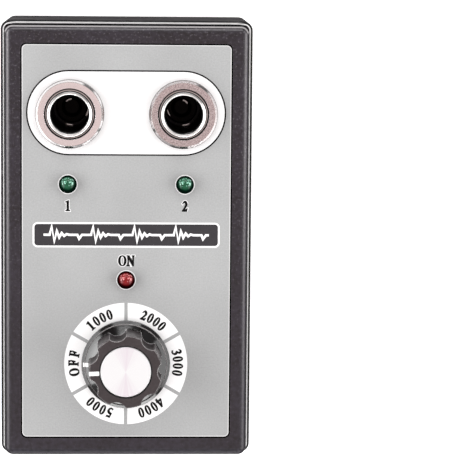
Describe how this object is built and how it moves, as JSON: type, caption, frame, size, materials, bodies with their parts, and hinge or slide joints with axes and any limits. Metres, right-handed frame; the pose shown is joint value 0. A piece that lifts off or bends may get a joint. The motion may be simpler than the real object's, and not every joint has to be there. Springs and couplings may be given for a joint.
{
  "type": "spark plug tester",
  "caption": "Box-shaped bench tester with chrome spark plug sockets, indicator lamps, a grey panel label and a fluted speed knob with a numbered dial.",
  "frame": {"origin": "centre of the bounding box on the back face, where the tester lies on a bench", "axes": "+Z out of the panel, +Y along the case towards the plug sockets, +X to the right as the panel is read"},
  "size_m": [0.071, 0.1234, 0.0617],
  "materials": {
    "case_plastic": "fine moulded grain",
    "bezel_plastic": "fine moulded grain",
    "label_film": "satin printed film",
    "screw_steel": "zinc plated",
    "bush_chrome": "polished",
    "nut_chrome": "polished with a warm tint",
    "contact_brass": "drawn",
    "plunger_dark": "blackened, worn bright at the rim",
    "sleeve_black": "smooth moulded",
    "spring_steel": "drawn wire",
    "lead_red": "silicone cover",
    "lead_black": "silicone cover",
    "lens_green": "clear tinted lens, unlit",
    "lens_red": "clear tinted lens, unlit",
    "lead_tinned": "tinned wire",
    "knob_plastic": "satin moulded",
    "cap_aluminium": "spun face",
    "pointer_white": "paint fill",
    "control_steel": "zinc plated",
    "rotor_plastic": "moulded",
    "wafer_resin": "pressed resin board",
    "chip_black": "moulded",
    "board_green": "solder mask",
    "coil_resin": "potting resin",
    "sink_aluminium": "extruded",
    "capacitor_sleeve": "shrink sleeve",
    "resistor_paint": "dipped coating"
  },
  "bodies": {
    "case": {"rear_shell": "case_plastic", "front_shell": "bezel_plastic", "panel_label": "label_film", "case_screws": "screw_steel", "board_screws": "screw_steel", "socket_bush_left": "bush_chrome", "socket_bush_right": "bush_chrome", "socket_nut_left": "nut_chrome", "socket_nut_right": "nut_chrome", "ground_tag_left": "contact_brass", "ground_tag_right": "contact_brass", "hv_terminal_left": "contact_brass", "hv_terminal_right": "contact_brass", "pot_lugs": "contact_brass", "dc_inlet_pin": "contact_brass", "plug_sleeve_left": "sleeve_black", "plug_sleeve_right": "sleeve_black", "contact_spring_left": "spring_steel", "contact_spring_right": "spring_steel", "hv_lead_left": "lead_red", "hv_lead_right": "lead_red", "pot_leads": "lead_red", "ground_leads": "lead_black", "signal_led_left": "lens_green", "signal_led_right": "lens_green", "power_led": "lens_red", "led_leads": "lead_tinned", "pot_bushing": "control_steel", "pot_nut": "control_steel", "pot_washer": "control_steel", "pot_can": "control_steel", "pot_wafer": "wafer_resin", "pot_switch": "chip_black", "driver_transistor": "chip_black", "timer_chip": "chip_black", "dc_inlet": "chip_black", "main_board": "board_green", "ignition_coil": "coil_resin", "heat_sink": "sink_aluminium", "filter_capacitors": "capacitor_sleeve", "resistors": "resistor_paint"},
    "knob": {"knob_body": "knob_plastic", "knob_cap": "cap_aluminium", "knob_pointer": "pointer_white", "pot_shaft": "control_steel", "pot_rotor": "rotor_plastic"},
    "left_contact": {"contact_plunger_left": "plunger_dark"},
    "right_contact": {"contact_plunger_right": "plunger_dark"}
  },
  "joints": [
    {"name": "knob_turn", "type": "hinge", "parent": "case", "child": "knob", "pos_m": [0, -0.0345, 0.05], "axis": [0, 0, 1], "range_deg": [-300, 0]},
    {"name": "left_contact_press", "type": "slide", "parent": "case", "child": "left_contact", "axis": [0, 0, -1], "range_m": [0, 0.0035], "stiffness_N_per_m": 800, "deforming": ["contact_spring_left"]},
    {"name": "right_contact_press", "type": "slide", "parent": "case", "child": "right_contact", "axis": [0, 0, -1], "range_m": [0, 0.0035], "stiffness_N_per_m": 800, "deforming": ["contact_spring_right"]}
  ]
}
